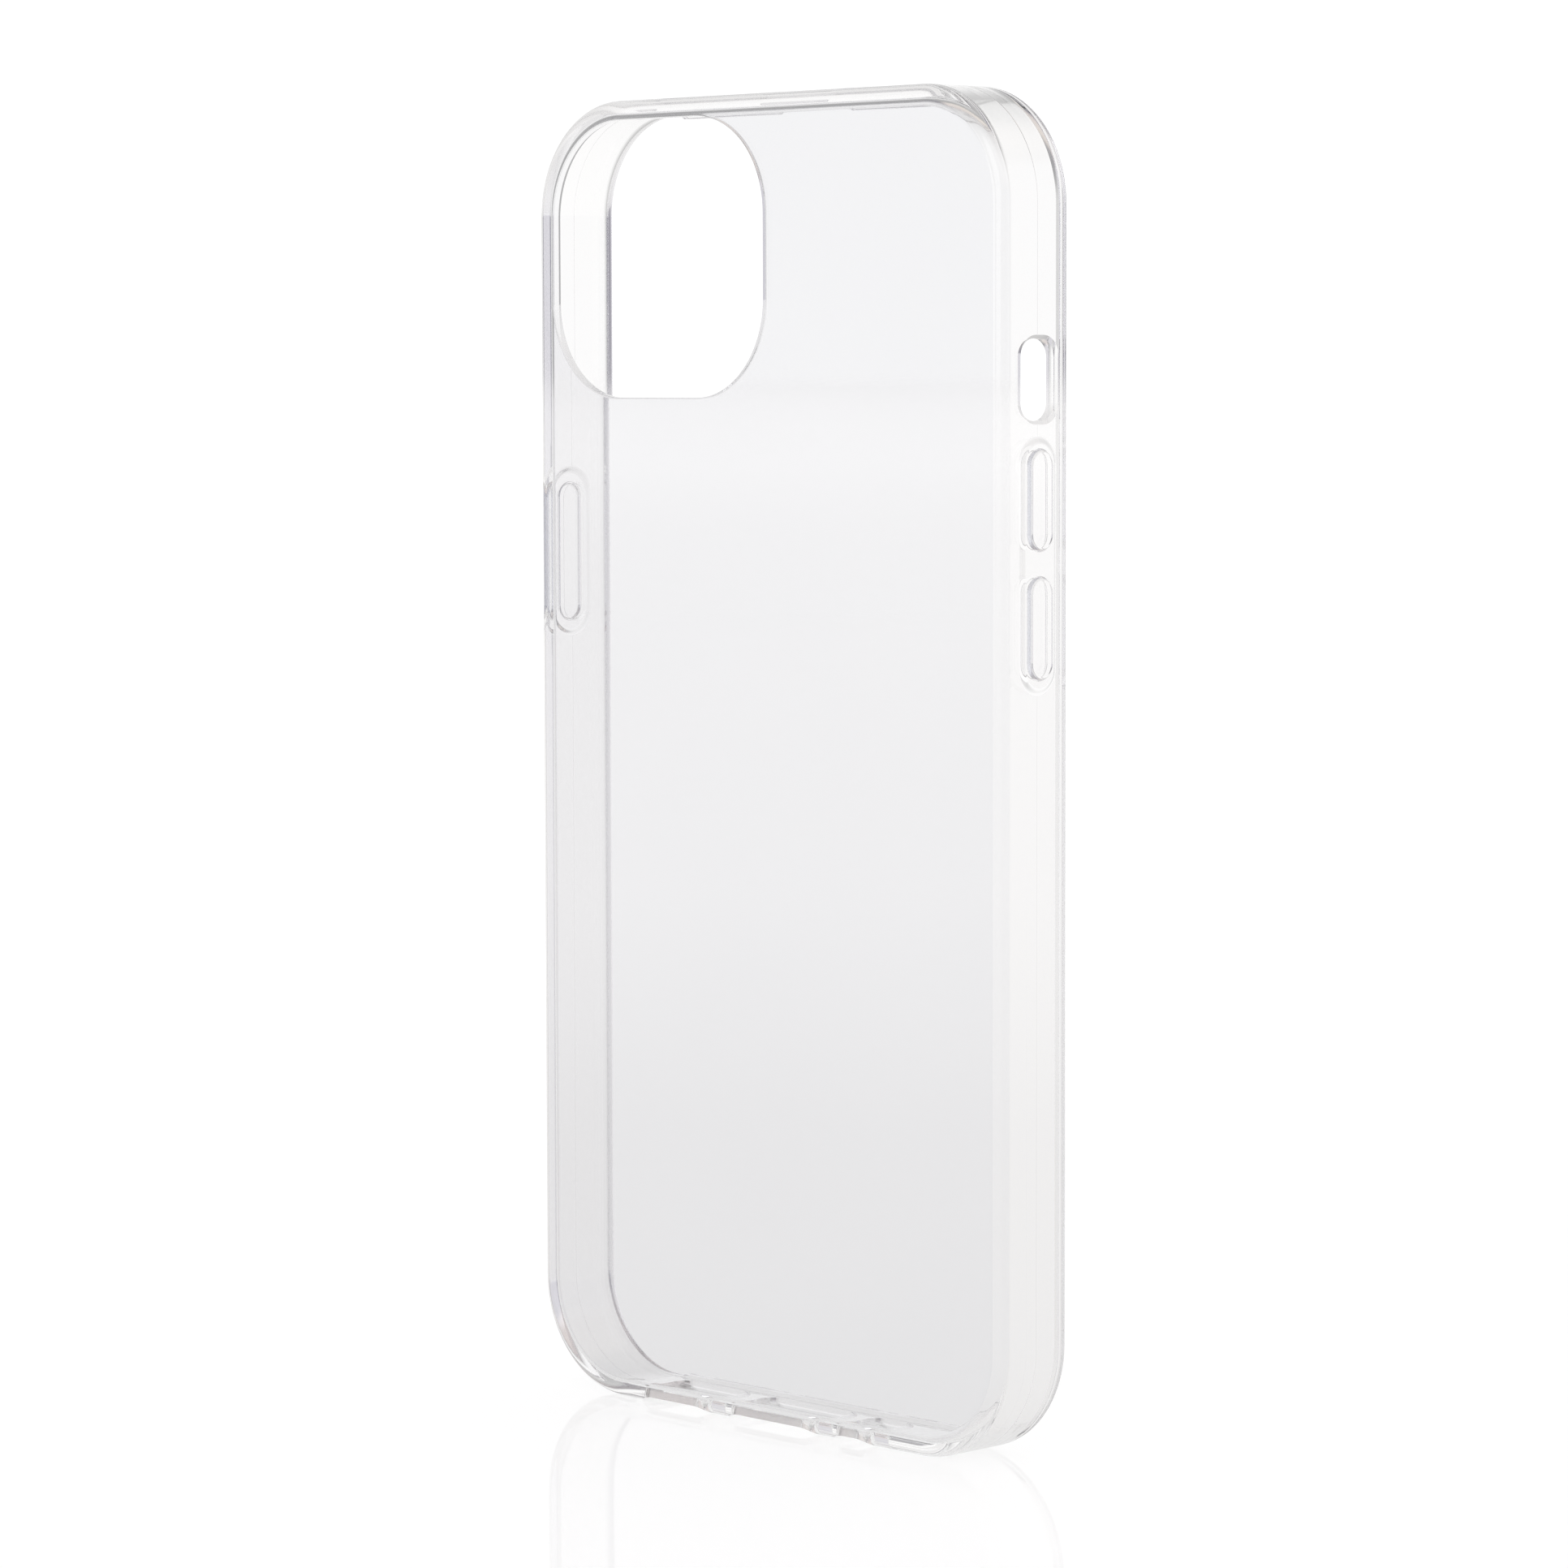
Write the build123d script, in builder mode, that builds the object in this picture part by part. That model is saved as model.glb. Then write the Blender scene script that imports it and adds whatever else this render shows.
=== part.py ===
"""Clear protective case for a 146.7 x 71.5 x 7.65 mm phone.

The case stands on its bottom edge. X runs across it, Z runs up its length, and Y runs through its
depth: the back faces -Y and the open screen side faces +Y. The origin is in the middle of the
bottom edge. All lengths are millimetres.
"""

import os

from build123d import *

# The phone that the case holds
PHONE_W, PHONE_H, PHONE_D = 71.5, 146.7, 7.65
PHONE_GAP = 0.15  # room on each side of the phone

# Shell
WALL = 1.5
BACK = 1.2
LIP = 1.3  # how far the walls stand above the screen
CORNER_R = 13.0  # outer corner seen from behind
REAR_ROUND = 1.5
FRONT_ROUND = 0.8
LIP_OVERHANG = 0.5  # how far the lip leans in over the screen along the sides
LIP_BEVEL = 0.35

CAVITY_W = PHONE_W + 2 * PHONE_GAP
CAVITY_H = PHONE_H + 2 * PHONE_GAP
CAVITY_D = PHONE_D + PHONE_GAP
CASE_W = CAVITY_W + 2 * WALL
CASE_H = CAVITY_H + 2 * WALL
CASE_D = BACK + CAVITY_D + LIP

MID_Z = CASE_H / 2
REAR_Y = -CASE_D / 2
FRONT_Y = CASE_D / 2
FLOOR_Y = REAR_Y + BACK  # where the phone's back lies
SCREEN_Y = FLOOR_Y + CAVITY_D  # where the lip starts to lean in
LIP_EDGE_Y = FRONT_Y - LIP_BEVEL
SIDE_X = CASE_W / 2
INNER_X = CAVITY_W / 2
TOP_IN_Z = CASE_H - WALL

# Camera opening in the back
CAMERA_W, CAMERA_H, CAMERA_R = 34.8, 31.6, 11.0
CAMERA_X, CAMERA_Z = -17.0, 131.9
CAMERA_EDGE = 0.2

# Retaining tabs of the lip: (nearest and furthest |X|, reach over the screen)
TOP_TAB = (6.2, 21.7, 0.45)
BOTTOM_TAB = (0.0, 21.7, 0.3)
TAB_SLOPE = 1.0
TAB_ROOT = 0.3  # overlap with the wall

# Switch opening in the right wall
SWITCH_Y, SWITCH_Z = 0.49, 118.1
SWITCH_W, SWITCH_H, SWITCH_R = 5.2, 8.8, 2.0
SWITCH_BEVEL = 0.4

# Openings in the bottom wall, as (left, right) X of the throat
BOTTOM_OPENINGS = [(-20.9, -9.8), (-6.4, 7.6), (10.6, 16.5)]
MOUTH = 0.7  # depth of the 45 degree flare
MOUTH_REAR_Y = -5.54
OPENING_FRONT_Y = 3.2
THROAT_REAR_Y = MOUTH_REAR_Y + WALL
OPENING_R = 2.0

# Button pads and keys
PAD_RAISE = 0.35
PAD_SLOPE = 60  # degrees that the pad's sides lean in
PAD_ROUND = 0.3
KEY_RAISE = 0.5  # above the pad
KEY_GAP = 0.12  # round the key and its flange
KEY_TRAVEL = 0.35
KEY_ROUND = 0.3
FLANGE_REACH = 0.55
FLANGE = 0.4
STOP_GAP = 0.03  # between the flange and the stop that it rests under
OUTER_SKIN = 0.55  # pad left outside the flange's groove
GROOVE = FLANGE + KEY_TRAVEL + 3 * STOP_GAP
POST_END_X = INNER_X + KEY_TRAVEL  # a fully pressed key is flush with the inner wall

VOLUME_PAD = {"y": 0.15, "z": 98.1, "width": 5.9, "length": 27.9}
POWER_PAD = {"y": 0.0, "z": 98.15, "width": 6.3, "length": 19.9}
VOLUME_UP = {"y": 0.15, "z": 105.2, "width": 3.45, "length": 10.8}
VOLUME_DOWN = {"y": 0.15, "z": 91.4, "width": 3.45, "length": 11.0}
POWER = {"y": 0.0, "z": 98.1, "width": 3.3, "length": 16.0}


def depth_plane(y):
    """Plane across the case at depth y, with X to the right and Z up, extruding towards the back."""
    return Plane(origin=(0, y, 0), x_dir=(1, 0, 0), z_dir=(0, -1, 0))


def side_plane(x, side):
    """Plane along a side wall at distance x from the middle, with Z up, extruding outwards."""
    return Plane(origin=(side * x, 0, 0), x_dir=(0, side, 0), z_dir=(side, 0, 0))


def stadium(place, side, grow=0.0):
    """Upright round-ended slot of a pad or key, grown all round, in a side plane's sketch."""
    with Locations((side * place["y"], place["z"])):
        SlotOverall(place["length"] + 2 * grow, place["width"] + 2 * grow, rotation=90)


def lip_opening():
    """Cutter for the opening inside the lip, which leans in along the sides and is bevelled in front."""
    edge_w = CAVITY_W - 2 * LIP_OVERHANG
    radius = CORNER_R - WALL
    outlines = [
        (SCREEN_Y, CAVITY_W, CAVITY_H, radius),
        (LIP_EDGE_Y, edge_w, CAVITY_H, radius),
        (FRONT_Y, edge_w + 2 * LIP_BEVEL, CAVITY_H + 2 * LIP_BEVEL, radius + LIP_BEVEL),
    ]
    with BuildPart() as cutter:
        for pair in zip(outlines, outlines[1:]):
            for y, width, height, corner in pair:
                with BuildSketch(depth_plane(y)):
                    with Locations((0, MID_Z)):
                        RectangleRounded(width, height, corner)
            loft()
    return cutter.part


def lip_tab(tab, edge_z, inwards, side):
    """Trapezoid that stands inwards from the lip's edge, on one side of the middle."""
    near, far, reach = tab
    tip_z = edge_z + inwards * reach
    root_z = edge_z - inwards * TAB_ROOT
    points = [
        (side * max(near - TAB_SLOPE, 0.0), root_z),
        (side * (far + TAB_SLOPE), root_z),
        (side * (far + TAB_SLOPE), edge_z),
        (side * far, tip_z),
        (side * near, tip_z),
        (side * max(near - TAB_SLOPE, 0.0), edge_z),
    ]
    if near == 0:
        points.pop()
    Polygon(*points, align=None)


def bottom_opening(left, right):
    """Cutter for one opening of the bottom wall: a 45 degree flare outside, then a throat."""
    centre_x = (left + right) / 2
    width = right - left
    mouth_front_y = OPENING_FRONT_Y + MOUTH
    mouth_y = (MOUTH_REAR_Y + mouth_front_y) / 2
    neck_rear_y = MOUTH_REAR_Y + MOUTH
    with BuildPart() as cutter:
        with BuildSketch(Plane.XY):
            with Locations((centre_x, mouth_y)):
                RectangleRounded(width + 2 * MOUTH, mouth_front_y - MOUTH_REAR_Y, OPENING_R + MOUTH)
        extrude(amount=MOUTH, taper=45)
        with BuildSketch(Plane.XY.offset(MOUTH)):
            with Locations((centre_x, (neck_rear_y + OPENING_FRONT_Y) / 2)):
                RectangleRounded(width, OPENING_FRONT_Y - neck_rear_y, OPENING_R)
        with BuildSketch(Plane.XY.offset(WALL)):
            with Locations((centre_x, (THROAT_REAR_Y + OPENING_FRONT_Y) / 2)):
                RectangleRounded(width, OPENING_FRONT_Y - THROAT_REAR_Y, OPENING_R)
        loft()
    return cutter.part


def switch_opening():
    """Cutter for the switch opening of the right wall, with a 45 degree bevel outside."""
    grown = 2 * SWITCH_BEVEL
    with BuildPart() as cutter:
        with BuildSketch(side_plane(INNER_X - 1, 1)):
            with Locations((SWITCH_Y, SWITCH_Z)):
                RectangleRounded(SWITCH_W, SWITCH_H, SWITCH_R)
        extrude(amount=WALL + 2)
        with BuildSketch(Plane(origin=(SIDE_X, 0, 0), x_dir=(0, -1, 0), z_dir=(-1, 0, 0))):
            with Locations((-SWITCH_Y, SWITCH_Z)):
                RectangleRounded(SWITCH_W + grown, SWITCH_H + grown, SWITCH_R + SWITCH_BEVEL)
        extrude(amount=SWITCH_BEVEL, taper=45)
    return cutter.part


def pad_window(pad, side):
    """Cutter for the window that a button pad fills in a side wall."""
    with BuildPart() as cutter:
        with BuildSketch(side_plane(INNER_X - 1, side)):
            stadium(pad, side)
        extrude(amount=WALL + 2)
    return cutter.part


def button_pad(pad, keys, side):
    """Soft pad that fills its window, stands proud of the wall and holds the keys' flanges."""
    groove_start_x = SIDE_X + PAD_RAISE - OUTER_SKIN - GROOVE
    with BuildPart() as part:
        with BuildSketch(side_plane(INNER_X, side)):
            stadium(pad, side)
        extrude(amount=WALL)
        with BuildSketch(side_plane(SIDE_X, side)):
            stadium(pad, side)
        extrude(amount=PAD_RAISE, taper=PAD_SLOPE)
        outer_face = part.faces().sort_by(Axis.X)[-1 if side > 0 else 0]
        fillet(outer_face.edges(), PAD_ROUND)
        for key in keys:
            with BuildSketch(side_plane(INNER_X - 1, side)):
                stadium(key, side, KEY_GAP)
            extrude(amount=WALL + PAD_RAISE + 2, mode=Mode.SUBTRACT)
            with BuildSketch(side_plane(groove_start_x, side)):
                stadium(key, side, FLANGE_REACH + KEY_GAP)
            extrude(amount=GROOVE, mode=Mode.SUBTRACT)
    return part


def button_key(key, side):
    """Key with a rounded outer end, a flange that its pad's groove holds, and an inner post."""
    flange_x = SIDE_X + PAD_RAISE - OUTER_SKIN - STOP_GAP - FLANGE
    outer_x = SIDE_X + PAD_RAISE + KEY_RAISE
    with BuildPart() as part:
        with BuildSketch(side_plane(POST_END_X, side)):
            stadium(key, side)
        extrude(amount=outer_x - POST_END_X)
        outer_face = part.faces().sort_by(Axis.X)[-1 if side > 0 else 0]
        fillet(outer_face.edges(), KEY_ROUND)
        with BuildSketch(side_plane(flange_x, side)):
            stadium(key, side, FLANGE_REACH)
        extrude(amount=FLANGE)
    return part


wall_openings = [
    switch_opening(),
    pad_window(VOLUME_PAD, 1),
    pad_window(POWER_PAD, -1),
    *(bottom_opening(left, right) for left, right in BOTTOM_OPENINGS),
]

with BuildPart() as bumper_frame:
    with BuildSketch(depth_plane(FRONT_Y)):
        with Locations((0, MID_Z)):
            RectangleRounded(CASE_W, CASE_H, CORNER_R)
    extrude(amount=CASE_D)
    fillet(bumper_frame.faces().sort_by(Axis.Y)[0].edges(), REAR_ROUND)
    fillet(bumper_frame.faces().sort_by(Axis.Y)[-1].edges(), FRONT_ROUND)
    # Space for the phone, open to the back, where the panel closes it
    with BuildSketch(depth_plane(SCREEN_Y)):
        with Locations((0, MID_Z)):
            RectangleRounded(CAVITY_W, CAVITY_H, CORNER_R - WALL)
    extrude(amount=CASE_D, mode=Mode.SUBTRACT)
    add(lip_opening(), mode=Mode.SUBTRACT)
    with BuildSketch(depth_plane(FRONT_Y)):
        for half in (-1, 1):
            lip_tab(TOP_TAB, TOP_IN_Z, -1, half)
            lip_tab(BOTTOM_TAB, WALL, 1, half)
    extrude(amount=LIP)
    for opening in wall_openings:
        add(opening, mode=Mode.SUBTRACT)

with BuildPart() as back_panel:
    with BuildSketch(depth_plane(FLOOR_Y)):
        with Locations((0, MID_Z)):
            RectangleRounded(CAVITY_W, CAVITY_H, CORNER_R - WALL)
        with Locations((CAMERA_X, CAMERA_Z)):
            RectangleRounded(CAMERA_W, CAMERA_H, CAMERA_R, mode=Mode.SUBTRACT)
    extrude(amount=BACK)
    rear_face = back_panel.faces().sort_by(Axis.Y)[0]
    chamfer(rear_face.inner_wires().edges(), CAMERA_EDGE)

volume_button_pad = button_pad(VOLUME_PAD, [VOLUME_UP, VOLUME_DOWN], 1)
power_button_pad = button_pad(POWER_PAD, [POWER], -1)
volume_up_button = button_key(VOLUME_UP, 1)
volume_down_button = button_key(VOLUME_DOWN, 1)
power_button = button_key(POWER, -1)

pieces = {
    "bumper_frame": bumper_frame,
    "back_panel": back_panel,
    "volume_button_pad": volume_button_pad,
    "power_button_pad": power_button_pad,
    "volume_up_button": volume_up_button,
    "volume_down_button": volume_down_button,
    "power_button": power_button,
}

os.makedirs("parts", exist_ok=True)
for name, piece in pieces.items():
    piece.part.label = name
    export_step(piece.part, f"parts/{name}.step")
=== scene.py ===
"""Looks of the clear phone case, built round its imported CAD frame.

X runs across the case, Y through its depth (the back faces -Y) and Z up its length. Meshes are
worked out in millimetres and stored in metres.
"""

import math

import bmesh
import bpy
import numpy as np
from mathutils import Matrix, Vector


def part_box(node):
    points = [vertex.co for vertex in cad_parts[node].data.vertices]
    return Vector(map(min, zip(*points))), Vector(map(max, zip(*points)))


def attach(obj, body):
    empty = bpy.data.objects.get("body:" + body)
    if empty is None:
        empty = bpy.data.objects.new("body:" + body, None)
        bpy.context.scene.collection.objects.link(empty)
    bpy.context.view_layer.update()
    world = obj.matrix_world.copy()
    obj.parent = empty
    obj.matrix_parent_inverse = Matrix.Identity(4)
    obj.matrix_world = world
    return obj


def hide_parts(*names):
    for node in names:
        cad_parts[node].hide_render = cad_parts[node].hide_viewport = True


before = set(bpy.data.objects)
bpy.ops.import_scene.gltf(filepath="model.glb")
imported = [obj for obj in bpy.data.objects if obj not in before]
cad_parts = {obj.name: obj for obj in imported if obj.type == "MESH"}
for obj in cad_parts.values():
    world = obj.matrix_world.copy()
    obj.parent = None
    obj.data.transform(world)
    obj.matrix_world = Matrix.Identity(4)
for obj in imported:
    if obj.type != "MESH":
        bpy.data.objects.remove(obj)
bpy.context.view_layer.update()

MM = 0.001


def cad_box(node):
    """Lowest and highest corner of a CAD node, in millimetres."""
    low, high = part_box(node)
    return np.array(low) / MM, np.array(high) / MM


# ---------------------------------------------------------------- sizes from the frame
case_low, case_high = cad_box("bumper_frame")
_, panel_high = cad_box("back_panel")

SIDE_X = case_high[0]
CASE_H = case_high[2]
MID_Z = CASE_H / 2
REAR_Y, FRONT_Y = case_low[1], case_high[1]
WALL = SIDE_X - panel_high[0]
INNER_X = SIDE_X - WALL
FLOOR_Y = panel_high[1]
PHONE_SPACE_D = 7.8
SCREEN_Y = FLOOR_Y + PHONE_SPACE_D  # where the lip starts to lean in

# Shape of the mouldings
CORNER_R = 13.0
REAR_ROUND = 1.5
FRONT_ROUND = 0.8
LIP_SIDE = 2.0  # from the outer wall to the lip's edge at the sides
LIP_END = 1.55  # the same at the top and bottom
LIP_ROUND = 0.35
LIP_STEP = 0.03
COVE = 0.9  # radius where the panel's inner face meets the walls
PARTING_Y = 0.15
PARTING_HALF = 0.09
PARTING_DEPTH = 0.045

# Retaining tabs of the lip: nearest and furthest |X|, and reach over the screen
TOP_TAB = (6.2, 21.7, 0.45)
BOTTOM_TAB = (0.0, 21.7, 0.3)
TAB_SLOPE = 1.0

# Openings
CUT_PAST = 1.0  # how far cutters run past a wall
CAMERA_OPENING = {"x": -17.0, "z": 131.9, "half_w": 17.4, "half_h": 15.8, "r": 11.0}
CAMERA_ROUND = 0.2
CAMERA_FLARE = 0.5  # how much wider the camera cutter is outside the panel
CAMERA_PAST = 0.3
SWITCH = {"y": 0.49, "z": 118.1, "half_w": 2.6, "half_h": 4.4, "r": 2.0}
SWITCH_BEVEL = 0.4
BOTTOM_OPENINGS = [(-20.9, -9.8), (-6.4, 7.6), (10.6, 16.5)]
MOUTH = 0.7  # depth of the flare outside a bottom opening
MOUTH_REAR_Y = -5.54
OPENING_FRONT_Y = 3.2
OPENING_R = 2.0

# Pads and keys
FLANGE_REACH = 0.55  # of a key's flange past its post
KEY_GAP = 0.12
PAD_SLOPE_W = 0.85
KEY_ROUND = 0.3
KEY_RAISE = 0.5  # above the pad
POST_ROUND = 0.15
RIM_ROUND = 0.1
GROOVE_DEPTH = 0.25  # of the open groove round a key
PAINTED_SHADE_BANDS = 3  # bands of painted shade: the key's side above the groove, and the start of its rounding

# How finely curves are divided
CORNER_STEPS = 24
SIDE_STEPS = 12
REAR_STEPS = 14
FRONT_STEPS = 9
LIP_STEPS = 6
COVE_STEPS = 6
CAMERA_EDGE_STEPS = 5
PAD_SLOPE_STEPS = 12
RIM_STEPS = 3
POST_STEPS = 3
KEY_STEPS = 7


# ---------------------------------------------------------------- outlines
def arc(centre, radius, start, end, steps):
    """Points of an arc in degrees, both ends included."""
    angles = np.radians(np.linspace(start, end, steps + 1))
    return np.stack([centre[0] + radius * np.cos(angles), centre[1] + radius * np.sin(angles)], 1)


def rounded_outline(half_w, half_h, radius, steps=12):
    """Rounded rectangle about the origin, anticlockwise."""
    cx, cy = half_w - radius, half_h - radius
    corners = [(cx, cy, 0), (-cx, cy, 90), (-cx, -cy, 180), (cx, -cy, 270)]
    arcs = [arc((x, y), radius, start, start + 90, steps) for x, y, start in corners]
    return np.concatenate(arcs)


def stadium_outline(half_w, half_h, steps=16):
    """Upright round-ended slot about the origin, anticlockwise."""
    reach = half_h - half_w
    top = arc((0, reach), half_w, 0, 180, 2 * steps)
    bottom = arc((0, -reach), half_w, 180, 360, 2 * steps)
    return np.concatenate([top, bottom])


def smoothstep(t):
    return t * t * (3 - 2 * t)


# ---------------------------------------------------------------- meshes
def make_object(name, points, faces, materials, slots=None):
    """Mesh object from points in millimetres, with its normals facing out."""
    mesh = bpy.data.meshes.new(name)
    mesh.from_pydata([tuple(p * MM) for p in points], [], faces)
    for material in materials:
        mesh.materials.append(material)
    if slots is not None:
        mesh.polygons.foreach_set("material_index", slots)
    shell = bmesh.new()
    shell.from_mesh(mesh)
    bmesh.ops.recalc_face_normals(shell, faces=shell.faces)
    shell.to_mesh(mesh)
    shell.free()
    piece = bpy.data.objects.new(name, mesh)
    bpy.context.scene.collection.objects.link(piece)
    return piece


def loft(name, rings, materials, band_slots=None, closed=False):
    """Closed solid through rings of equally many points: capped, or joined end to end."""
    count = len(rings[0])
    total = len(rings)
    bands = total if closed else total - 1
    faces, slots = [], []
    for band in range(bands):
        a, b = band * count, (band + 1) % total * count
        for i in range(count):
            j = (i + 1) % count
            faces.append((a + i, a + j, b + j, b + i))
            slots.append(band_slots[band] if band_slots else 0)
    if not closed:
        faces.append(tuple(range(count)))
        faces.append(tuple(range((total - 1) * count, total * count)))
        slots += [0, 0]
    return make_object(name, np.concatenate(rings), faces, materials, slots)


def cut(piece, *cutters):
    """Takes the cutters out of a piece, keeps each cutter's own material on the cut faces."""
    for cutter in cutters:
        boolean = piece.modifiers.new("cut", "BOOLEAN")
        boolean.operation = "DIFFERENCE"
        boolean.solver = "EXACT"
        boolean.material_mode = "TRANSFER"
        boolean.object = cutter
    bpy.context.view_layer.update()
    shape = piece.evaluated_get(bpy.context.evaluated_depsgraph_get())
    mesh = bpy.data.meshes.new_from_object(shape)
    piece.modifiers.clear()
    piece.data = mesh
    for cutter in cutters:
        bpy.data.objects.remove(cutter)
    return piece


def finish_piece(piece, nodes, body, angle=35):
    """Smooth shading with crisp edges, and the piece's place in the frame."""
    mesh = piece.data
    mesh.shade_smooth()
    mesh.set_sharp_from_angle(angle=math.radians(angle))
    weighted = piece.modifiers.new("flat faces keep flat shading", "WEIGHTED_NORMAL")
    weighted.keep_sharp = True
    weighted.weight = 100
    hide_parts(*nodes)
    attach(piece, body)


# ---------------------------------------------------------------- materials
def nodes_of(material):
    material.use_nodes = True
    tree = material.node_tree
    tree.nodes.clear()
    return tree


def add_node(tree, kind, **inputs):
    node = tree.nodes.new(kind)
    for name, value in inputs.items():
        node.inputs[name].default_value = value
    return node


# Clear plastic; sizes of the noises are in cells per metre
PLASTIC_IOR = 1.49
ROUGHNESS = (0.02, 0.05)
CLOUD_SCALE = 28.0
SMEAR_SCALE = 90.0
FLOW_SCALE = 45.0
FLOW_HEIGHT = 0.0004


def clear_plastic(name, low_tint, high_tint, wave):
    """Clear moulded plastic: a tint that varies softly, uneven gloss and faint flow waves. On a key's
    side the tint is painted shade.
    """
    material = bpy.data.materials.new(name)
    tree = nodes_of(material)
    link = tree.links.new
    place = tree.nodes.new("ShaderNodeTexCoord")

    cloud = add_node(tree, "ShaderNodeTexNoise", Scale=CLOUD_SCALE, Detail=3.0)
    link(place.outputs["Object"], cloud.inputs["Vector"])
    tint = tree.nodes.new("ShaderNodeMix")
    tint.data_type = "RGBA"
    tint.inputs["A"].default_value = (*low_tint, 1)
    tint.inputs["B"].default_value = (*high_tint, 1)
    link(cloud.outputs["Fac"], tint.inputs["Factor"])

    smear = add_node(tree, "ShaderNodeTexNoise", Scale=SMEAR_SCALE, Detail=5.0)
    link(place.outputs["Object"], smear.inputs["Vector"])
    gloss = tree.nodes.new("ShaderNodeMapRange")
    gloss.inputs["To Min"].default_value = ROUGHNESS[0]
    gloss.inputs["To Max"].default_value = ROUGHNESS[1]
    link(smear.outputs["Fac"], gloss.inputs["Value"])

    flow = add_node(tree, "ShaderNodeTexNoise", Scale=FLOW_SCALE, Detail=2.0)
    link(place.outputs["Object"], flow.inputs["Vector"])
    bump = add_node(tree, "ShaderNodeBump", Strength=wave, Distance=FLOW_HEIGHT)
    link(flow.outputs["Fac"], bump.inputs["Height"])

    shader = add_node(tree, "ShaderNodeBsdfPrincipled", IOR=PLASTIC_IOR)
    shader.inputs["Transmission Weight"].default_value = 1.0
    link(tint.outputs["Result"], shader.inputs["Base Color"])
    link(gloss.outputs["Result"], shader.inputs["Roughness"])
    link(bump.outputs["Normal"], shader.inputs["Normal"])
    out = tree.nodes.new("ShaderNodeOutputMaterial")
    link(shader.outputs["BSDF"], out.inputs["Surface"])
    return material


def bonded_joint():
    """Face where two shots of the same plastic have fused, so that no boundary shows."""
    material = bpy.data.materials.new("bonded_joint")
    tree = nodes_of(material)
    shader = add_node(tree, "ShaderNodeBsdfTransparent")
    out = tree.nodes.new("ShaderNodeOutputMaterial")
    tree.links.new(shader.outputs["BSDF"], out.inputs["Surface"])
    return material


SOFT = clear_plastic("soft_clear_plastic", (0.965, 0.96, 0.955), (0.985, 0.98, 0.978), 0.05)
HARD = clear_plastic("clear_panel_plastic", (0.882, 0.882, 0.894), (0.908, 0.908, 0.917), 0.03)
# Painted shade: a key's side is darker and bluer, in place of the line that light makes along it
KEY_EDGE_PAINTED_SHADE = clear_plastic("key_edge_painted_shade", (0.50, 0.51, 0.58), (0.62, 0.63, 0.69), 0.05)
JOINT = bonded_joint()

# Material slots of a piece; the third holds a key's painted shade
SURFACE, BOND, PAINTED_SHADE = 0, 1, 2


# ---------------------------------------------------------------- bumper frame
def tab_reach(tab, x):
    """How far a tab of the lip stands over the screen at x."""
    near, far, reach = tab
    place = abs(x)
    if place > far:
        share = 1 - (place - far) / TAB_SLOPE
    elif place < near:
        share = 1 - (near - place) / TAB_SLOPE
    else:
        share = 1.0
    return reach * min(max(share, 0.0), 1.0)


def tab_stations():
    """X places along the top and bottom edges at which a tab's outline turns."""
    places = set()
    for near, far, _ in (TOP_TAB, BOTTOM_TAB):
        places |= {near, max(near - TAB_SLOPE, 0.0), far, far + TAB_SLOPE, (near + far) / 2}
    return sorted({-p for p in places} | places)


def frame_ring(inset_x, inset_z, y, tabs):
    """One ring round the case, inset from its outer outline, at depth y."""
    half_w, half_h = SIDE_X - inset_x, MID_Z - inset_z
    radius = CORNER_R - (inset_x + inset_z) / 2
    cx, cz = half_w - radius, half_h - radius
    stations = tab_stations()
    up = np.linspace(-cz, cz, SIDE_STEPS + 1)[1:-1]
    points = [(half_w, z) for z in up]
    points += list(map(tuple, arc((cx, cz), radius, 0, 90, CORNER_STEPS)))
    points += [(x, half_h - tabs * tab_reach(TOP_TAB, x)) for x in reversed(stations)]
    points += list(map(tuple, arc((-cx, cz), radius, 90, 180, CORNER_STEPS)))
    points += [(-half_w, z) for z in reversed(up)]
    points += list(map(tuple, arc((-cx, -cz), radius, 180, 270, CORNER_STEPS)))
    points += [(x, -half_h + tabs * tab_reach(BOTTOM_TAB, x)) for x in stations]
    points += list(map(tuple, arc((cx, -cz), radius, 270, 360, CORNER_STEPS)))
    return np.array([(x, y, MID_Z + z) for x, z in points])


def frame_profile():
    """Section of the frame's wall as (inset at the sides, inset at the ends, y, tabs, slot to next)."""
    rear = arc((REAR_ROUND, REAR_Y + REAR_ROUND), REAR_ROUND, 270, 180, REAR_STEPS)
    front = arc((FRONT_ROUND, FRONT_Y - FRONT_ROUND), FRONT_ROUND, 180, 90, FRONT_STEPS)
    profile = [(d, d, y, 0, SURFACE) for d, y in rear]
    for step in (-1, 0, 1):
        depth = PARTING_DEPTH * (step == 0)
        profile.append((depth, depth, PARTING_Y + step * PARTING_HALF, 0, SURFACE))
    profile += [(d, d, y, 0, SURFACE) for d, y in front]
    for d, y in arc((-LIP_ROUND, FRONT_Y - LIP_ROUND), LIP_ROUND, 90, 0, LIP_STEPS):
        profile.append((LIP_SIDE + d, LIP_END + d, y, 1, SURFACE))
    profile.append((WALL + LIP_STEP, LIP_END, SCREEN_Y + LIP_STEP, 1, SURFACE))
    profile.append((WALL, WALL, SCREEN_Y, 0, SURFACE))
    profile.append((WALL, WALL, FLOOR_Y + COVE, 0, BOND))
    return profile


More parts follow.
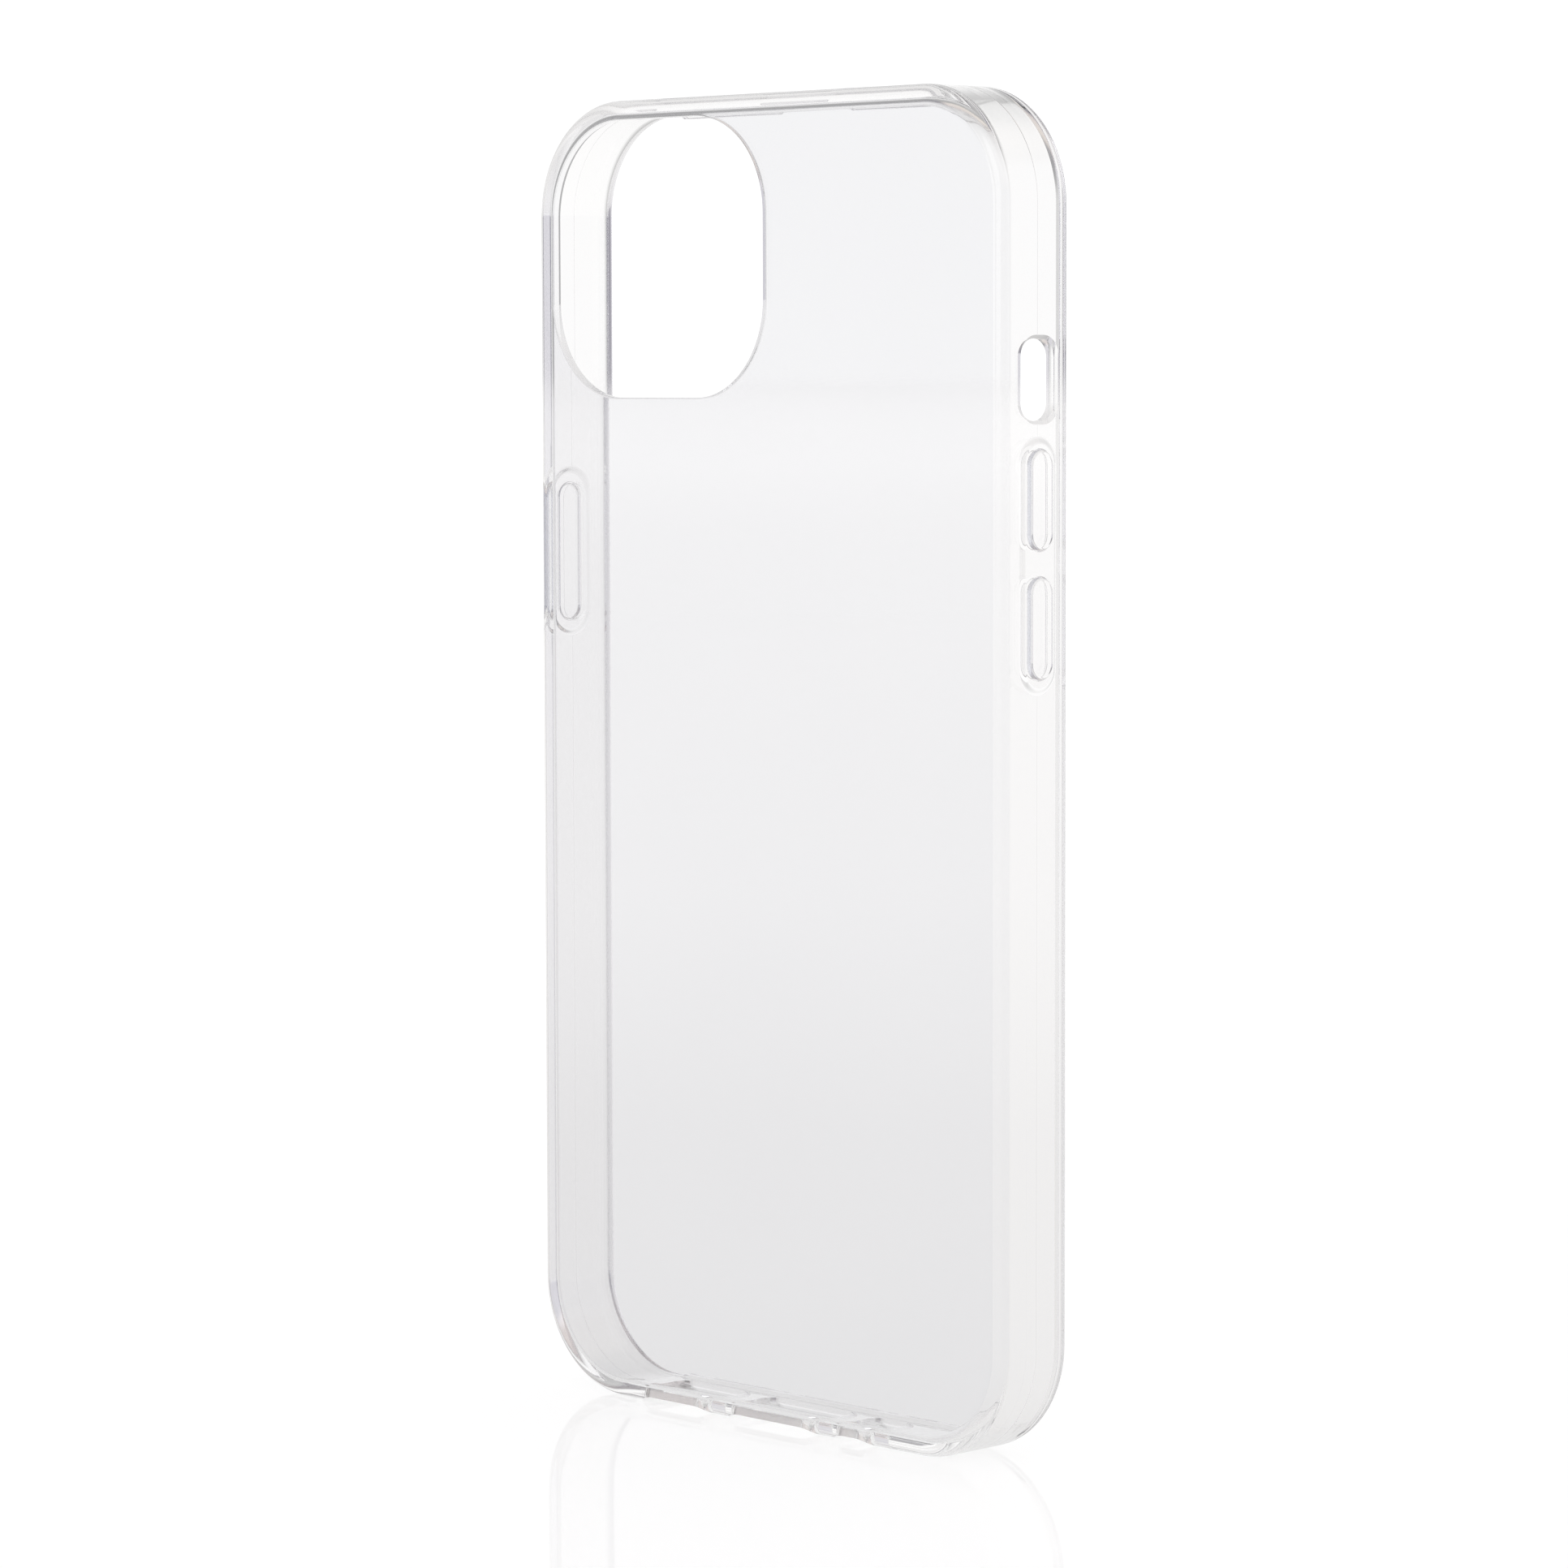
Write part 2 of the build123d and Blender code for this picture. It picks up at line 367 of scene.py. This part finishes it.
def bottom_cutter(left, right):
    """Opening of the bottom wall: a 45 degree flare outside, then a throat with a sloping back."""
    half_w, centre_x = (right - left) / 2, (left + right) / 2
    levels = [(-MOUTH, 2 * MOUTH), (0.0, MOUTH), (MOUTH, 0.0), (WALL, 0.0), (WALL + 2 * CUT_PAST, 0.0)]
    rings = []
    for z, grow in levels:
        rear = MOUTH_REAR_Y + min(z, WALL)
        front = OPENING_FRONT_Y + grow
        outline = rounded_outline(half_w + grow, (front - rear) / 2, OPENING_R + grow)
        middle = (front + rear) / 2
        rings.append(np.array([(centre_x + u, middle + v, z) for u, v in outline]))
    return loft("bottom_cutter", rings, [SOFT])


def side_cutter(name, outlines, materials, side, band_slots=None):
    """Solid through outlines of (distance from the middle, points in y and z)."""
    rings = [np.array([(side * x, y, z) for y, z in outline]) for x, outline in outlines]
    return loft(name, rings, materials, band_slots)


def switch_cutter():
    """Opening beside the mute switch, with a bevel outside."""
    levels = [(INNER_X - CUT_PAST, 0.0), (SIDE_X - SWITCH_BEVEL, 0.0)]
    levels.append((SIDE_X + SWITCH_BEVEL, 2 * SWITCH_BEVEL))
    outlines = []
    for x, grow in levels:
        outline = rounded_outline(SWITCH["half_w"] + grow, SWITCH["half_h"] + grow, SWITCH["r"] + grow)
        outlines.append((x, outline + (SWITCH["y"], SWITCH["z"])))
    return side_cutter("switch_cutter", outlines, [SOFT], 1)


def pad_window(pad):
    """Window of a pad in the side wall. Its faces are bonded to the pad."""
    outline = stadium_outline(pad["half_w"], pad["half_h"]) + (pad["y"], pad["z"])
    outlines = [(INNER_X - CUT_PAST, outline), (SIDE_X + CUT_PAST, outline)]
    return side_cutter("pad_window", outlines, [JOINT], pad["side"])


def slot_facts(node, shrink=0.0):
    """Place and half sizes of a pad or key in its side wall, from its CAD node."""
    low, high = cad_box(node)
    return {
        "side": 1 if high[0] > 0 else -1,
        "y": (low[1] + high[1]) / 2,
        "z": (low[2] + high[2]) / 2,
        "half_w": (high[1] - low[1]) / 2 - shrink,
        "half_h": (high[2] - low[2]) / 2 - shrink,
        "near": min(abs(low[0]), abs(high[0])),
        "far": max(abs(low[0]), abs(high[0])),
    }


PADS = {node: slot_facts(node) for node in ("volume_button_pad", "power_button_pad")}
KEYS = {
    node: slot_facts(node, FLANGE_REACH)
    for node in ("volume_up_button", "volume_down_button", "power_button")
}


def build_frame():
    profile = frame_profile()
    rings = [frame_ring(ix, iz, y, tabs) for ix, iz, y, tabs, _ in profile]
    piece = loft("frame_moulding", rings, [SOFT, JOINT], [p[-1] for p in profile], closed=True)
    cutters = [bottom_cutter(left, right) for left, right in BOTTOM_OPENINGS]
    cutters.append(switch_cutter())
    cutters += [pad_window(pad) for pad in PADS.values()]
    cut(piece, *cutters)
    finish_piece(piece, ["bumper_frame"], "case")


# ---------------------------------------------------------------- back panel
def build_panel():
    """Flat panel with a small cove up to the walls and a round-cornered camera opening."""
    half_w, half_h, radius = INNER_X, MID_Z - WALL, CORNER_R - WALL
    cove = arc((COVE, FLOOR_Y + COVE), COVE, 180, 270, COVE_STEPS)
    levels = [(0.0, REAR_Y)] + [(d, y) for d, y in cove]
    rings = []
    for inset, y in levels:
        outline = rounded_outline(half_w - inset, half_h - inset, radius - inset, CORNER_STEPS)
        rings.append(np.array([(u, y, MID_Z + v) for u, v in outline]))
    slots = [BOND] + [SURFACE] * (len(rings) - 2)
    piece = loft("panel_plate", rings, [HARD, JOINT], slots)

    inward = arc((-CAMERA_ROUND, REAR_Y + CAMERA_ROUND), CAMERA_ROUND, 270, 360, CAMERA_EDGE_STEPS)
    outward = arc((-CAMERA_ROUND, FLOOR_Y - CAMERA_ROUND), CAMERA_ROUND, 0, 90, CAMERA_EDGE_STEPS)
    levels = [(-CAMERA_FLARE, REAR_Y - CAMERA_PAST), *map(tuple, inward), *map(tuple, outward)]
    levels.append((-CAMERA_FLARE, FLOOR_Y + CAMERA_PAST))
    hole = CAMERA_OPENING
    rings = []
    for d, y in levels:
        outline = rounded_outline(hole["half_w"] - d, hole["half_h"] - d, hole["r"] - d, CORNER_STEPS)
        rings.append(np.array([(hole["x"] + u, y, hole["z"] + v) for u, v in outline]))
    cutter = loft("camera_cutter", rings, [HARD])
    cut(piece, cutter)
    finish_piece(piece, ["back_panel"], "case")


# ---------------------------------------------------------------- pads and keys
def build_pad(node, keys):
    """Raised pad whose sides rise softly from the wall, with a hole for each key."""
    pad = PADS[node]
    side, raised = pad["side"], pad["far"] - SIDE_X
    levels = [(0.0, INNER_X)]
    for t in np.linspace(0, 1, PAD_SLOPE_STEPS + 1):
        levels.append((PAD_SLOPE_W * t, SIDE_X + raised * smoothstep(t)))
    rings = []
    for inset, x in levels:
        outline = stadium_outline(pad["half_w"] - inset, pad["half_h"] - inset)
        rings.append(np.array([(side * x, pad["y"] + u, pad["z"] + v) for u, v in outline]))
    slots = [BOND] + [SURFACE] * (len(rings) - 2)
    piece = loft(node.replace("button_pad", "pad_moulding"), rings, [SOFT, JOINT], slots)
    cutters = []
    for key in keys:
        rim = arc((KEY_GAP + RIM_ROUND, pad["far"] - RIM_ROUND), RIM_ROUND, 180, 90, RIM_STEPS)
        levels = [(KEY_GAP, INNER_X - CUT_PAST), (KEY_GAP, pad["far"] - GROOVE_DEPTH)]
        levels += [*map(tuple, rim), (KEY_GAP + RIM_ROUND, pad["far"] + CUT_PAST)]
        outlines = []
        for grow, x in levels:
            outline = stadium_outline(key["half_w"] + grow, key["half_h"] + grow)
            outlines.append((x, outline + (key["y"], key["z"])))
        bands = [BOND] + [SURFACE] * (len(levels) - 2)
        cutters.append(side_cutter("key_hole", outlines, [SOFT, JOINT], side, bands))
    cut(piece, *cutters)
    finish_piece(piece, [node], "case")


def build_key(node, body):
    """Key with rounded edges: see-through where it passes the pad, and darkened above the groove by
    painted shade.
    """
    key = KEYS[node]
    side, near, far = key["side"], key["near"], key["far"]
    inner = arc((POST_ROUND, near + POST_ROUND), POST_ROUND, 270, 180, POST_STEPS)
    outer = arc((KEY_ROUND, far - KEY_ROUND), KEY_ROUND, 180, 90, KEY_STEPS)
    levels = [*map(tuple, inner), (0.0, far - KEY_RAISE - GROOVE_DEPTH), *map(tuple, outer)]
    rings = []
    for inset, x in levels:
        outline = stadium_outline(key["half_w"] - inset, key["half_h"] - inset)
        rings.append(np.array([(side * x, key["y"] + u, key["z"] + v) for u, v in outline]))
    bands = [SURFACE] * (len(levels) - 1)
    bands[len(inner) - 1] = BOND
    # painted shade on the key's side above the groove and on the start of its rounding
    bands[len(inner):len(inner) + PAINTED_SHADE_BANDS] = [PAINTED_SHADE] * PAINTED_SHADE_BANDS
    piece = loft(node.replace("_button", "_key_cap"), rings, [SOFT, JOINT, KEY_EDGE_PAINTED_SHADE], bands)
    finish_piece(piece, [node], body)


build_frame()
build_panel()
build_pad("volume_button_pad", [KEYS["volume_up_button"], KEYS["volume_down_button"]])
build_pad("power_button_pad", [KEYS["power_button"]])
build_key("volume_up_button", "volume_up_key")
build_key("volume_down_button", "volume_down_key")
build_key("power_button", "power_key")


# ---------------------------------------------------------------- floor, light and camera
CAMERA_YAW = math.radians(45.82)
CAMERA_PITCH = math.radians(-4.45)
CAMERA_ROLL = math.radians(-0.14)
CAMERA_LENS = 121.9
CAMERA_PLACE = Vector((0.42754, -0.41701, 0.11912))
SENSOR_WIDTH = 36.0
CLIP_NEAR = 0.01
CLIP_FAR = 50.0
BOUNCES = 64

FLOOR_HALF = 40.0

# Painted light: the floor's glow at some distances in metres from the case, dimmer close to the case as
# painted shade
FLOOR_LIGHT = [(0.06, 0.735), (0.23, 0.74), (0.38, 0.778), (0.5, 0.80), (0.61, 0.817),
               (1.0, 0.825), (1.7, 0.838), (3.5, 0.858), (6.0, 0.91)]
FLOOR_SEEN = 1.22  # times that where the camera sees it straight
FLOOR_PALE = 0.2
FLOOR_GLOSS = 0.04
FLOOR_IOR = 1.33
GLOSS_SHARE = 0.5  # most that the floor mirrors, at a grazing angle


def ramp_node(tree, stops, low, high):
    """Colour ramp over low..high; each stop is a place and a grey or a colour."""
    ramp = tree.nodes.new("ShaderNodeValToRGB")
    elements = ramp.color_ramp.elements
    while len(elements) < len(stops):
        elements.new(0.5)
    for element, (place, tone) in zip(elements, stops):
        element.position = (place - low) / (high - low)
        colour = tone if isinstance(tone, tuple) else (tone,) * 3
        element.color = (*colour, 1)
    return ramp


def ranged(tree, source, low, high):
    """Spreads a value from low..high to 0..1."""
    node = tree.nodes.new("ShaderNodeMapRange")
    node.inputs["From Min"].default_value = low
    node.inputs["From Max"].default_value = high
    tree.links.new(source, node.inputs["Value"])
    return node.outputs["Result"]


def build_floor():
    mesh = bpy.data.meshes.new("floor")
    corners = [(-1, -1), (1, -1), (1, 1), (-1, 1)]
    mesh.from_pydata([(FLOOR_HALF * x, FLOOR_HALF * y, 0) for x, y in corners], [], [(0, 1, 2, 3)])
    material = bpy.data.materials.new("glowing_floor")
    tree = nodes_of(material)
    link = tree.links.new
    place = tree.nodes.new("ShaderNodeNewGeometry")
    distance = tree.nodes.new("ShaderNodeVectorMath")
    distance.operation = "LENGTH"
    link(place.outputs["Position"], distance.inputs[0])
    far = FLOOR_LIGHT[-1][0]
    light = ramp_node(tree, FLOOR_LIGHT, 0.0, far)
    link(ranged(tree, distance.outputs["Value"], 0.0, far), light.inputs["Fac"])

    path = tree.nodes.new("ShaderNodeLightPath")
    strength = tree.nodes.new("ShaderNodeMapRange")
    strength.inputs["To Min"].default_value = 1.0
    strength.inputs["To Max"].default_value = FLOOR_SEEN
    link(path.outputs["Is Camera Ray"], strength.inputs["Value"])
    # painted light: the floor glows, brighter still where the camera sees it straight
    glow = tree.nodes.new("ShaderNodeEmission")
    link(light.outputs["Color"], glow.inputs["Color"])
    link(strength.outputs["Result"], glow.inputs["Strength"])
    paint = add_node(tree, "ShaderNodeBsdfDiffuse", Color=(FLOOR_PALE, FLOOR_PALE, FLOOR_PALE, 1))
    base = tree.nodes.new("ShaderNodeAddShader")
    link(glow.outputs["Emission"], base.inputs[0])
    link(paint.outputs["BSDF"], base.inputs[1])
    sheen = add_node(tree, "ShaderNodeBsdfGlossy", Color=(1, 1, 1, 1), Roughness=FLOOR_GLOSS)
    edge = add_node(tree, "ShaderNodeFresnel", IOR=FLOOR_IOR)
    both = tree.nodes.new("ShaderNodeMixShader")
    share = tree.nodes.new("ShaderNodeMapRange")
    share.inputs["To Max"].default_value = GLOSS_SHARE
    link(edge.outputs["Fac"], share.inputs["Value"])
    link(share.outputs["Result"], both.inputs["Fac"])
    link(base.outputs["Shader"], both.inputs[1])
    link(sheen.outputs["BSDF"], both.inputs[2])
    out = tree.nodes.new("ShaderNodeOutputMaterial")
    link(both.outputs["Shader"], out.inputs["Surface"])
    mesh.materials.append(material)
    floor = bpy.data.objects.new("floor", mesh)
    bpy.context.scene.collection.objects.link(floor)


# Brightness of the room from behind the camera (-1) round to behind the case (1)
ROOM = [(-1.0, (0.26, 0.255, 0.30)), (-0.75, (0.26, 0.25, 0.30)), (-0.4, (0.28, 0.27, 0.32)),
        (0.1, (0.30, 0.29, 0.33)), (0.5, 0.38), (0.85, 0.62), (0.97, 1.0)]
SEEN_LEVEL = 1.1  # where the camera sees it straight

# Soft boxes: turn from the case's back towards its right side and height in degrees, half width, glow
SOFT_BOXES = [(5, 10, 20, (1.3, 1.3, 1.3)), (136, 3, 26, (0.42, 0.42, 0.42)),
              (180, 0, 16, (0.3, 0.3, 0.3)), (-134, 3, 14, (0.03, 0.03, 0.03)),
              (-44, 4, 13, (0.50, 0.50, 0.50)), (90, 65, 48, (0.45, 0.40, 0.34))]
BOX_EDGE = 6  # degrees over which a box's glow fades, to each side of its edge


def heading(turn, height):
    """Direction at a turn from the case's back towards its right side, and a height."""
    turn, height = math.radians(turn), math.radians(height)
    flat = math.cos(height)
    return Vector((flat * math.sin(turn), -flat * math.cos(turn), math.sin(height)))


def build_world():
    """White sweep behind the case, a greyer room at the sides and behind the camera, and soft boxes."""
    world = bpy.data.worlds.new("studio")
    bpy.context.scene.world = world
    world.use_nodes = True
    tree = world.node_tree
    tree.nodes.clear()
    link = tree.links.new
    place = tree.nodes.new("ShaderNodeTexCoord")

    def towards(direction):
        """Cosine of the angle between the ray and a direction."""
        facing = tree.nodes.new("ShaderNodeVectorMath")
        facing.operation = "DOT_PRODUCT"
        link(place.outputs["Generated"], facing.inputs[0])
        facing.inputs[1].default_value = direction
        return facing.outputs["Value"]

    behind_case = (-math.sin(CAMERA_YAW), math.cos(CAMERA_YAW), 0.0)
    room = ramp_node(tree, ROOM, -1.0, 1.0)
    link(ranged(tree, towards(behind_case), -1.0, 1.0), room.inputs["Fac"])
    lit = tree.nodes.new("ShaderNodeBackground")
    link(room.outputs["Color"], lit.inputs["Color"])
    total = lit.outputs["Background"]
    for turn, height, half, glow in SOFT_BOXES:
        fall = tree.nodes.new("ShaderNodeMapRange")
        fall.interpolation_type = "SMOOTHSTEP"
        fall.inputs["From Min"].default_value = math.cos(math.radians(half + BOX_EDGE))
        fall.inputs["From Max"].default_value = math.cos(math.radians(half - BOX_EDGE))
        link(towards(heading(turn, height)), fall.inputs["Value"])
        box = add_node(tree, "ShaderNodeBackground", Color=(*glow, 1))
        link(fall.outputs["Result"], box.inputs["Strength"])
        both = tree.nodes.new("ShaderNodeAddShader")
        link(total, both.inputs[0])
        link(box.outputs["Background"], both.inputs[1])
        total = both.outputs["Shader"]

    seen = add_node(tree, "ShaderNodeBackground", Color=(1, 1, 1, 1), Strength=SEEN_LEVEL)
    path = tree.nodes.new("ShaderNodeLightPath")
    either = tree.nodes.new("ShaderNodeMixShader")
    link(path.outputs["Is Camera Ray"], either.inputs["Fac"])
    link(total, either.inputs[1])
    link(seen.outputs["Background"], either.inputs[2])
    out = tree.nodes.new("ShaderNodeOutputWorld")
    link(either.outputs["Shader"], out.inputs["Surface"])


def build_camera():
    camera = bpy.data.objects.new("camera", bpy.data.cameras.new("camera"))
    camera.data.lens = CAMERA_LENS
    camera.data.sensor_width = SENSOR_WIDTH
    camera.data.clip_start = CLIP_NEAR
    camera.data.clip_end = CLIP_FAR
    turn = Matrix.Rotation(CAMERA_YAW, 4, "Z") @ Matrix.Rotation(math.pi / 2 + CAMERA_PITCH, 4, "X")
    roll = Matrix.Rotation(CAMERA_ROLL, 4, "Z")
    camera.matrix_world = Matrix.Translation(CAMERA_PLACE) @ turn @ roll
    bpy.context.scene.collection.objects.link(camera)
    bpy.context.scene.camera = camera


build_floor()
build_world()
build_camera()

scene = bpy.context.scene
scene.view_settings.view_transform = "Standard"

# Light crosses many faces of clear plastic, which turn black where it is given up too soon
scene.cycles.max_bounces = BOUNCES
scene.cycles.transmission_bounces = BOUNCES
scene.cycles.transparent_max_bounces = BOUNCES
scene.cycles.glossy_bounces = BOUNCES
